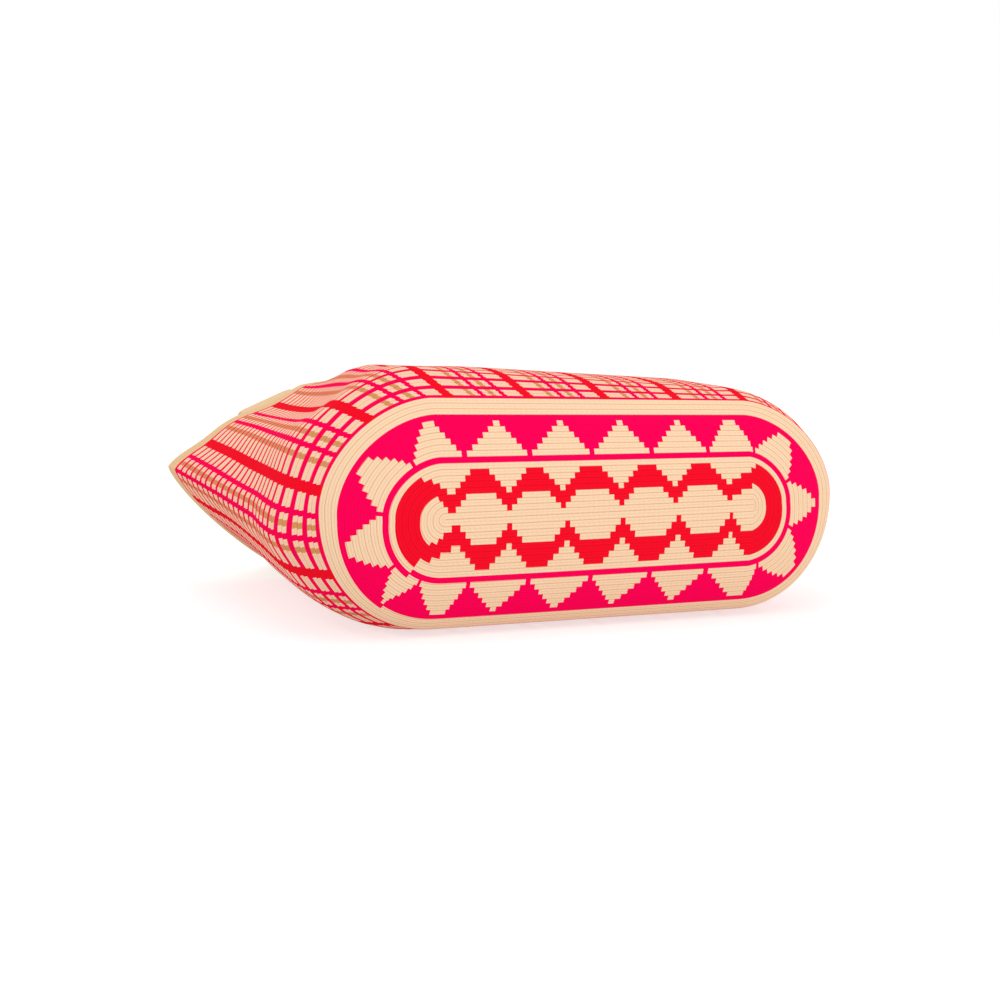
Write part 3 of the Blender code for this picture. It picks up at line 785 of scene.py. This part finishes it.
def cotton(material, stitch, row, colour, tone, amount):
    """Wires up the yarn: V-shaped stitches in relief, and painted shade in the grooves."""
    tree = material.node_tree
    shader = tree.nodes["Principled BSDF"]
    beat = row % 1.0
    lean = (beat - 0.5) * LEAN
    leg = ((stitch + lean) % 1.0 - 0.5).abs() * 2
    strand = ((beat * 2) % 1.0 - 0.5).abs() * 2
    ply = (1 - leg * leg) * (1 - strand * PLY_EDGE)
    place = add_node(
        tree, "ShaderNodeCombineXYZ",
        X=stitch * FIBRES_IN_STITCH, Y=row * FIBRES_IN_ROUND, Z=0.0,
    )
    fibre = add_node(
        tree, "ShaderNodeTexNoise",
        Vector=place, Scale=FIBRE_SCALE, Detail=3.0, Roughness=0.6,
    )
    between_rounds = (beat - 0.5).abs() * 2
    # Painted shade: darker in the grooves between the rounds and in the middle of each round, and
    # at the edges of each stitch's legs, where the stitches meet.
    groove_shade = strand ** GROOVE_EDGE * (between_rounds * BETWEEN_ROUNDS + IN_ROUND)
    with_painted_shade = dyed(tree, groove_shade * amount, colour, tone)
    with_painted_shade = dyed(tree, leg ** LEG_EDGE * LEG_SHADE, with_painted_shade, tone)
    uneven = dyed(tree, fibre * FIBRE_SHADE, with_painted_shade, PAINTED_SHADE_AND_YARN_TONE)
    tree.links.new(uneven.socket, shader.inputs["Base Color"])
    bump = add_node(
        tree, "ShaderNodeBump",
        Strength=0.35, Distance=0.0006, Height=ply * PLY_RELIEF + fibre * FIBRE_RELIEF,
    )
    tree.links.new(bump.socket, shader.inputs["Normal"])
    shader.inputs["Roughness"].default_value = 0.95
    shader.inputs["Specular IOR Level"].default_value = 0.04


def new_material(name, view_colour):
    material = bpy.data.materials.new(name)
    material.use_nodes = True
    material.diffuse_color = view_colour
    return material, material.node_tree


def stitch_and_round(tree):
    uv = add_node(tree, "ShaderNodeUVMap", {"uv_map": "stitch_round"})
    parts = add_node(tree, "ShaderNodeSeparateXYZ", Vector=uv)
    node = parts.socket.node
    return Signal(tree, node.outputs["X"]), Signal(tree, node.outputs["Y"])


# The stitch where a round ends, how soon beside it the step begins, and its height in rounds.
JOG_STITCH, JOG_EDGE, JOG_HEIGHT = 248.0, 6.0, 0.7


def spiral_row(stitch, row):
    """The round count with the spiral's step in it, spread over the stitches beside it."""
    turn = ((stitch - JOG_STITCH) % STITCHES) / STITCHES - 0.5
    return row + turn * (turn.abs() * 2) ** JOG_EDGE * JOG_HEIGHT


# %% [markdown]
# ## The wall's colours
#
# Around the wall every fifteenth stitch starts a red band two stitches wide. Every third round
# is magenta, except where a band crosses it, and the rounds between are cream. Some of the
# fields carry an extra stripe of tan or magenta. The rim is plain cream.

# %% The wall's material
FIRST_BAND, BAND_WIDTH, REPEAT = 2.6, 2.0, 15.0
TAN_STRIPES, MAGENTA_STRIPES, HALF_STRIPE = (5.6, 9.6), (7.6, 11.6), 0.5
MAGENTA_EVERY, STRIPE_LEAN = 3.0, 0.25


def stripe(cell, middles):
    """1 on a stripe one stitch wide around either middle."""
    first, second = (((cell - middle).abs() < HALF_STRIPE) for middle in middles)
    return first.most(second)


def wall_material():
    material, tree = new_material("wall_yarn", MAGENTA)
    stitch, row = stitch_and_round(tree)
    wall_row = row - BASE_ROUNDS
    cell = (stitch + (wall_row % 1.0) * STRIPE_LEAN - FIRST_BAND) % REPEAT
    magenta_round = (wall_row % MAGENTA_EVERY) < 1.0
    field = mixed(tree, stripe(cell, TAN_STRIPES), CREAM, TAN)
    field = mixed(tree, stripe(cell, MAGENTA_STRIPES).most(magenta_round), field, MAGENTA)
    field = mixed(tree, cell < BAND_WIDTH, field, RED)
    rim = wall_row > WALL_ROUNDS - RIM_ROUNDS
    field = mixed(tree, rim, field, RIM_CREAM)
    # The grooves' painted shade: tinted pink on the patterned wall, beige on the rim.
    tone = mixed(tree, rim, PINK_PAINTED_SHADE, PAINTED_SHADE_AND_YARN_TONE)
    cotton(material, stitch, row, field, tone, WALL_GROOVES)
    return material


wall_yarn = wall_material()
for piece in (bag_wall_low, bag_wall_mid, bag_wall_high, bag_rim, bag_inside):
    piece.data.materials.append(wall_yarn)

# %% [markdown]
# ## The base's colours
#
# Inner rounds: cream, then red zigzag tips that grow two stitches a round until the red joins
# into solid rounds, cut by cream triangles from the other side. Outer rounds: cream triangles on
# magenta that lose a stitch at each side from round to round. Plain rounds frame both.

# %% The base's material
# Rounds are numbered from 1. The zigzag's tips grow up to round 4 and join from round 5 on.
ZIGZAG_JOINS, DIVIDING_ROUND = 4.5, 9
TRIANGLES_FROM, TRIANGLES_TO, FRAME_FROM = 10.5, 16.5, 17.5
TRIANGLE_BASE, TRIANGLE_STEP = 0.91, 0.175
# Kept just under a whole number at the last line, so that it stays in its round.
BELOW_ONE = 0.9999


def base_material():
    material, tree = new_material("base_yarn", MAGENTA)
    stitch, row = stitch_and_round(tree)

    def attribute(name):
        settings = {"attribute_name": name}
        return add_node(tree, "ShaderNodeAttribute", settings, ATTRIBUTE_VALUE)

    number = (spiral_row(stitch, row) * BELOW_ONE).most(0.0).floor() + 1
    place = add_node(tree, "ShaderNodeTexCoord", None, OBJECT_PLACE)
    x = add_node(tree, "ShaderNodeSeparateXYZ", Vector=place)
    arc = attribute("end_angle") * (number - 0.5) * (BASE_RADIUS / BASE_ROUNDS / STITCH)
    count = x.abs() / STITCH + arc
    narrowing = TRIANGLE_BASE - (number - TRIANGLES_FROM - 0.5) * TRIANGLE_STEP
    triangle = attribute("across_triangle") < narrowing
    triangle = triangle * (number > TRIANGLES_FROM) * (number < TRIANGLES_TO)
    dividing = (number - DIVIDING_ROUND).abs() < 0.5
    plain = (number > FRAME_FROM).most(dividing.most(number < 1.5))
    outer = number > DIVIDING_ROUND + 0.5
    magenta = outer * (1 - triangle) * (1 - plain)
    apart = attribute("zigzag_stitches")
    rising = (apart < (number - 1.5)) * (number < ZIGZAG_JOINS)
    falling = (apart > (number - ZIGZAG_JOINS)) * (number > ZIGZAG_JOINS)
    red = rising.most(falling) * (1 - outer) * (1 - plain)
    colour = mixed(tree, magenta, CREAM, MAGENTA)
    colour = mixed(tree, red, colour, RED)
    # Magenta and red get less painted shade in their grooves.
    amount = BASE_GROOVES - magenta * LESS_ON_MAGENTA - red * LESS_ON_RED
    cotton(material, count, row, colour, PAINTED_SHADE_AND_YARN_TONE, amount)
    return material


base_yarn = base_material()
bag_base.data.materials.append(base_yarn)

# %% The straps' material
def strap_material():
    material, tree = new_material("strap_yarn_finish", CREAM)
    stitch, row = stitch_and_round(tree)
    around_strap = stitch * (2 * STRAP_WIDTH / STITCH / STITCHES)
    colour = mixed(tree, 0.5, RIM_CREAM, CREAM)
    # The strap's grooves get painted shade, as on the base.
    cotton(material, around_strap, row, colour, PAINTED_SHADE_AND_YARN_TONE, STRAP_GROOVES)
    return material


strap_finish = strap_material()
for piece in (upper_band, lower_band):
    piece.data.materials.append(strap_finish)

# %% [markdown]
# ## The sewing yarn
#
# The seams on the feet come from the CAD model as they are and only get a finish: a twisted
# cream yarn, with its twist taken from the object's own coordinates.

# %% The seams' material
def seam_material():
    material, tree = new_material("sewing_yarn", CREAM)
    shader = tree.nodes["Principled BSDF"]
    place = add_node(tree, "ShaderNodeTexCoord", None, OBJECT_PLACE)
    twist = add_node(
        tree, "ShaderNodeTexWave", {"bands_direction": "DIAGONAL"}, 1,
        Vector=place, Scale=260.0, Distortion=2.0, Detail=1.0,
    )
    colour = dyed(tree, twist * 0.6, CREAM, PAINTED_SHADE_AND_YARN_TONE)
    tree.links.new(colour.socket, shader.inputs["Base Color"])
    bump = add_node(tree, "ShaderNodeBump", Strength=0.5, Distance=0.0004, Height=twist)
    tree.links.new(bump.socket, shader.inputs["Normal"])
    shader.inputs["Roughness"].default_value = 0.9
    return material


sewing_yarn = seam_material()
for name in feet:
    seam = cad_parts[f"{name}_seam"]
    seam.data.materials.clear()
    seam.data.materials.append(sewing_yarn)

# %% [markdown]
# ## Table, light and camera
#
# The bag lies in an even white room. The table and the world are white to the camera. Big soft
# lamps at both sides, above and behind give a little modelling, and the bag leaves a faint
# shadow.

# %% The table and the white room
# The table glows a little, so that it stays white to the camera right up to the horizon.
TABLE_HALF, TABLE_GREY, TABLE_GLOW, GLOW_ON_BAG = 6.0, 0.5, 0.64, 0.45
ROOM_LIGHT = 0.76


def table_top():
    bm = bmesh.new()
    bmesh.ops.create_grid(bm, x_segments=1, y_segments=1, size=TABLE_HALF)
    mesh = bpy.data.meshes.new("table_top")
    bm.to_mesh(mesh)
    bm.free()
    table = bpy.data.objects.new("table_top", mesh)
    bpy.context.scene.collection.objects.link(table)
    material, tree = new_material("white_table", (1, 1, 1, 1))
    shader = tree.nodes["Principled BSDF"]
    shader.inputs["Base Color"].default_value = (TABLE_GREY, TABLE_GREY, TABLE_GREY, 1)
    shader.inputs["Roughness"].default_value = 1.0
    shader.inputs["Specular IOR Level"].default_value = 0.0
    path = add_node(tree, "ShaderNodeLightPath")
    shown = Signal(tree, path.socket.node.outputs["Is Camera Ray"])
    glow = shown * (1 - GLOW_ON_BAG) + GLOW_ON_BAG
    tree.links.new(glow.socket, shader.inputs["Emission Strength"])
    shader.inputs["Emission Color"].default_value = (TABLE_GLOW, TABLE_GLOW, TABLE_GLOW, 1)
    mesh.materials.append(material)


table_top()
world = bpy.data.worlds.new("white_room")
bpy.context.scene.world = world
world.use_nodes = True
room = world.node_tree
room.nodes["Background"].inputs["Color"].default_value = (1, 1, 1, 1)
light_path = add_node(room, "ShaderNodeLightPath")
seen = Signal(room, light_path.socket.node.outputs["Is Camera Ray"])
seen = seen.most(Signal(room, light_path.socket.node.outputs["Is Glossy Ray"]))
seen = seen.most(Signal(room, light_path.socket.node.outputs["Is Transmission Ray"]))
strength = seen * (1 - ROOM_LIGHT) + ROOM_LIGHT
room.links.new(strength.socket, room.nodes["Background"].inputs["Strength"])


def soft_lamp(name, place, target, size, power):
    data = bpy.data.lights.new(name, "AREA")
    data.shape, data.size, data.energy = "DISK", size, power
    lamp = bpy.data.objects.new(name, data)
    bpy.context.scene.collection.objects.link(lamp)
    lamp.location = place
    lamp.rotation_euler = (Vector(target) - Vector(place)).to_track_quat("-Z", "Y").to_euler()


MIDDLE = (0, 0, 0.08)
soft_lamp("front_left_lamp", (-1.9, -1.6, 1.0), MIDDLE, 1.6, 14)
soft_lamp("front_right_lamp", (1.6, -1.9, 0.15), MIDDLE, 1.4, 24)
soft_lamp("top_lamp", (-0.3, 0.1, 2.4), MIDDLE, 1.8, 7)
soft_lamp("back_lamp", (0.5, 2.2, 1.0), MIDDLE, 1.6, 8)

# %% The camera
TURN, RISE, AWAY = math.radians(24), math.radians(7), 1.45
FOCAL_PIXELS, SENSOR = 2218.5, 36.0
# The base's middle stands this many pixels right of and below the middle of the picture.
PICTURE_PIXELS, SIGHT_X, SIGHT_Y = 1000, 89, 13
SIGHT_HEIGHT = 0.075
target = Vector((0, -WALL_DEPTH / 2, SIGHT_HEIGHT))
back = Vector((-math.sin(TURN) * math.cos(RISE), -math.cos(TURN) * math.cos(RISE), math.sin(RISE)))
yaw = TURN - math.atan(SIGHT_X / FOCAL_PIXELS)
pitch = RISE - math.atan(SIGHT_Y / FOCAL_PIXELS)
ahead = Vector((math.sin(yaw) * math.cos(pitch), math.cos(yaw) * math.cos(pitch), -math.sin(pitch)))
camera_data = bpy.data.cameras.new("camera")
camera_data.sensor_width = SENSOR
camera_data.lens = FOCAL_PIXELS / PICTURE_PIXELS * SENSOR
camera = bpy.data.objects.new("camera", camera_data)
bpy.context.scene.collection.objects.link(camera)
camera.location = target + back * AWAY
camera.rotation_euler = ahead.to_track_quat("-Z", "Y").to_euler()
bpy.context.scene.camera = camera
bpy.context.scene.view_settings.view_transform = "Standard"
print("lens", round(camera_data.lens, 2), "mm")
